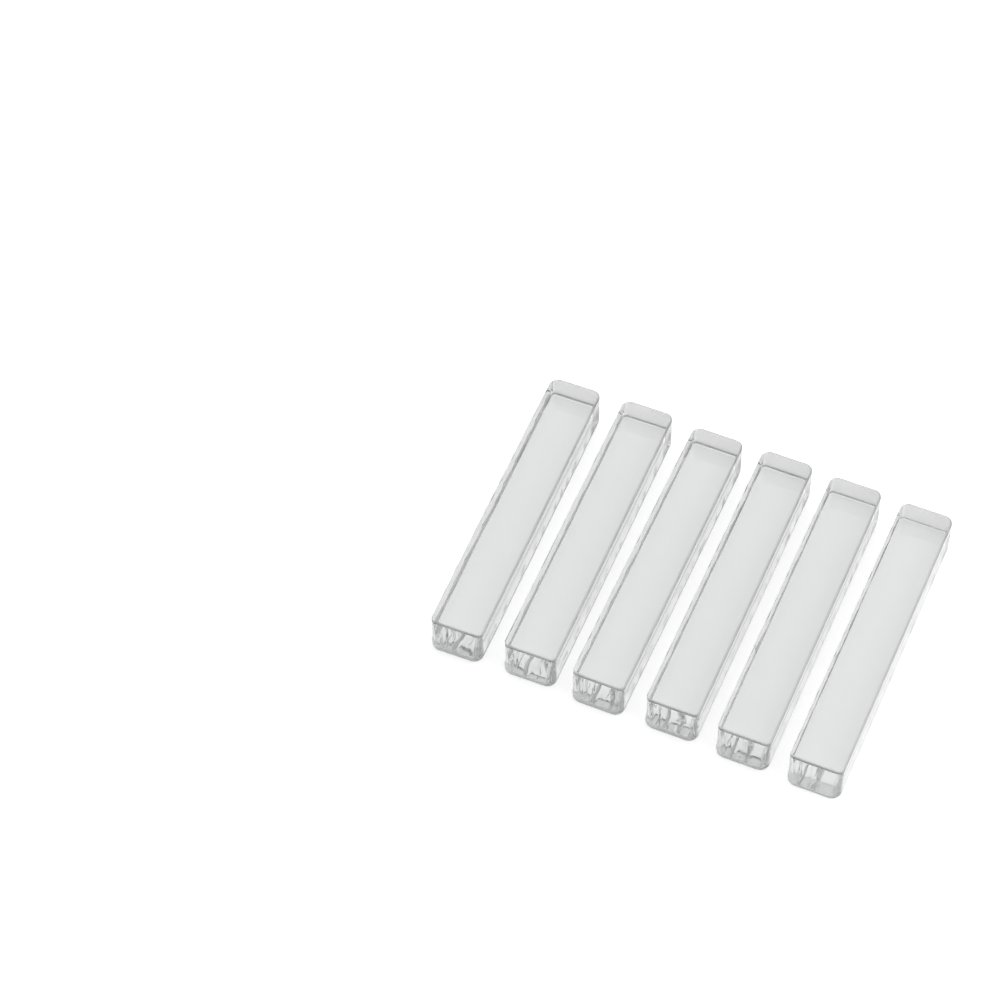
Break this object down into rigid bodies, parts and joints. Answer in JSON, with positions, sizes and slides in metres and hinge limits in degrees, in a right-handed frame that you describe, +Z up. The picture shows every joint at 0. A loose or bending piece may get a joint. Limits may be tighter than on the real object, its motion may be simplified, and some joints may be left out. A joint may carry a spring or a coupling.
{
  "type": "glass knife rest set",
  "caption": "Loose row of solid square clear glass bars with softened edges; each holds a table knife's blade clear of the cloth on its flat top.",
  "frame": {"origin": "on the table under the middle of the whole row", "axes": "+X across the row from the first rest to the sixth, +Y along the rests, away from the viewer of the picture, +Z up"},
  "size_m": [0.1184, 0.0934, 0.013],
  "materials": {
    "clear_glass": "clear polished cast glass, faintly grey-green in its depth, slightly wavy inside"
  },
  "bodies": {
    "rest_1": {"knife_rest_1": "clear_glass"},
    "rest_2": {"knife_rest_2": "clear_glass"},
    "rest_3": {"knife_rest_3": "clear_glass"},
    "rest_4": {"knife_rest_4": "clear_glass"},
    "rest_5": {"knife_rest_5": "clear_glass"},
    "rest_6": {"knife_rest_6": "clear_glass"}
  },
  "joints": [
    {"name": "rest_2_lift", "type": "slide", "parent": "rest_1", "child": "rest_2", "axis": [0, 0, 1], "range_m": [0, 0.06]},
    {"name": "rest_3_lift", "type": "slide", "parent": "rest_1", "child": "rest_3", "axis": [0, 0, 1], "range_m": [0, 0.06]},
    {"name": "rest_4_lift", "type": "slide", "parent": "rest_1", "child": "rest_4", "axis": [0, 0, 1], "range_m": [0, 0.06]},
    {"name": "rest_5_lift", "type": "slide", "parent": "rest_1", "child": "rest_5", "axis": [0, 0, 1], "range_m": [0, 0.06]},
    {"name": "rest_6_lift", "type": "slide", "parent": "rest_1", "child": "rest_6", "axis": [0, 0, 1], "range_m": [0, 0.06]}
  ]
}
